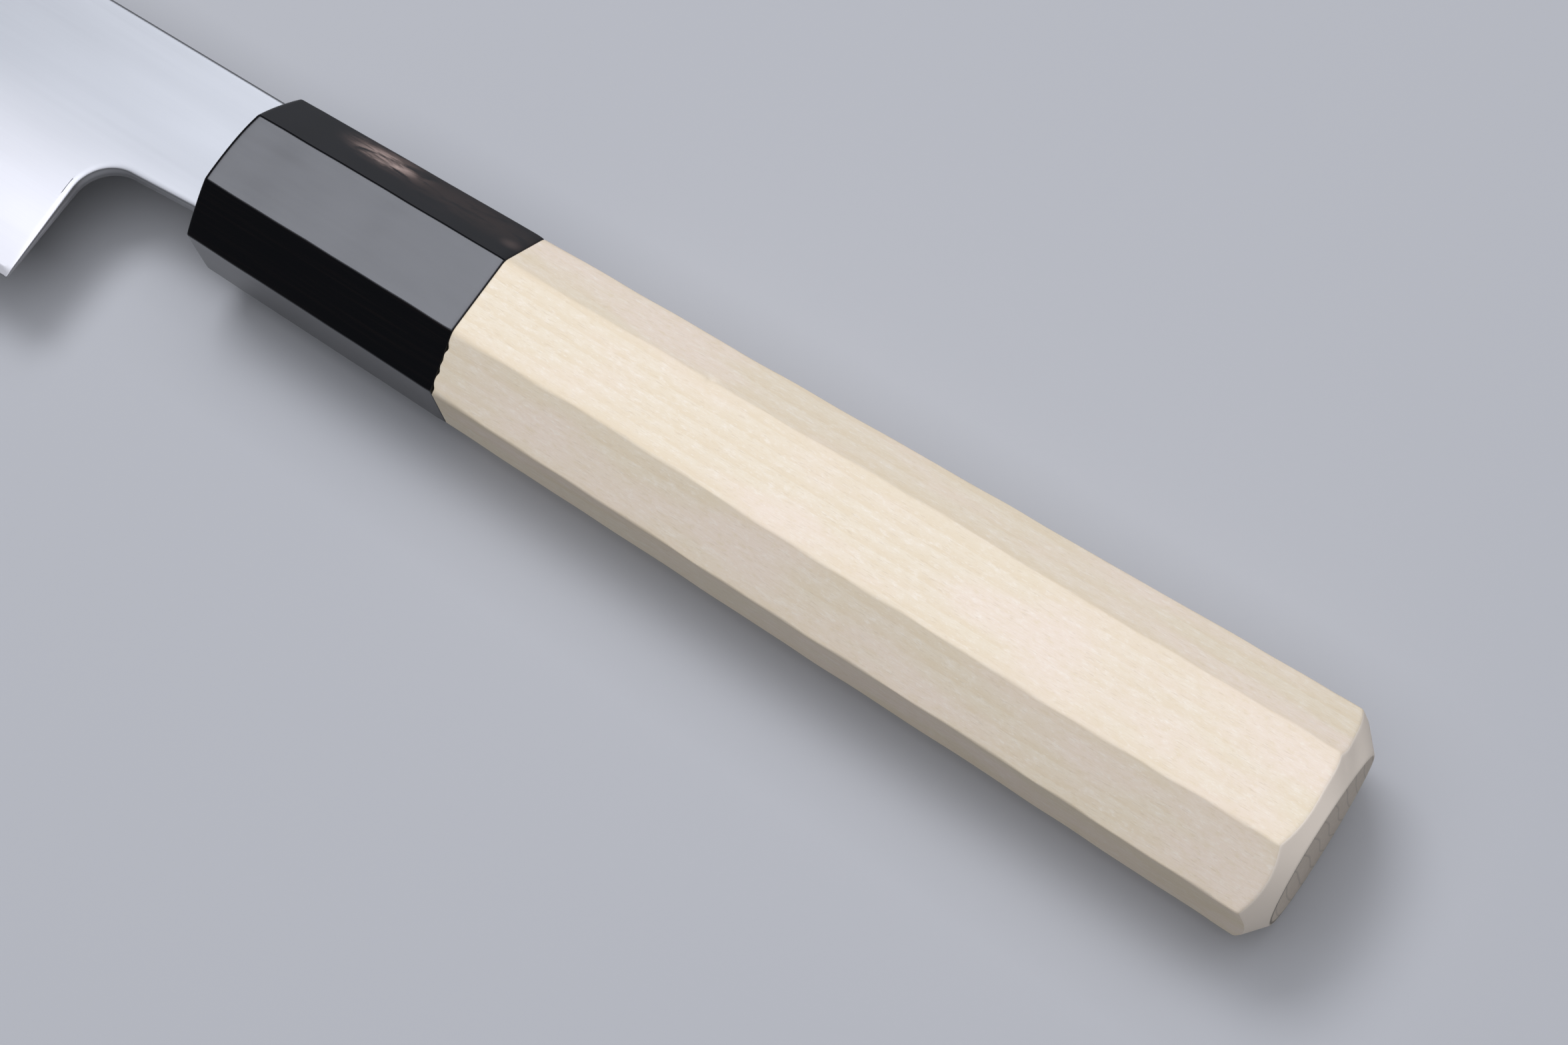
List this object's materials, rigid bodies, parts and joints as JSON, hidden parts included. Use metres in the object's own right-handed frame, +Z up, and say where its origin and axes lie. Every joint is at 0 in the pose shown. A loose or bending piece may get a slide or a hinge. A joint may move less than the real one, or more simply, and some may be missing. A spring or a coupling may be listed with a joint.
{
  "type": "chef knife",
  "caption": "Slim double-bevel kitchen knife with a hidden tang, an octagonal pale wooden handle and a black horn ferrule.",
  "frame": {"origin": "bottom centre of the whole knife's box as it lies on its side", "axes": "+X from the blade's tip to the butt of the handle, +Y from the cutting edge to the spine, +Z up through the blade's thickness. The blade's mid-plane and the handle's axis are horizontal, 11.25 mm above the origin"},
  "size_m": [0.3664, 0.037, 0.0225],
  "materials": {
    "steel": "fine satin grind, nearly polished, with faint lines along the blade",
    "horn": "polished black buffalo horn, with brown marbling on one corner face",
    "wood": "sanded bare magnolia wood, pale cream, fine straight grain along the handle",
    "resin": "cured amber resin"
  },
  "bodies": {
    "root": {"blade": "steel", "ferrule": "horn", "handle": "wood", "tang_bedding": "resin"}
  },
  "joints": []
}
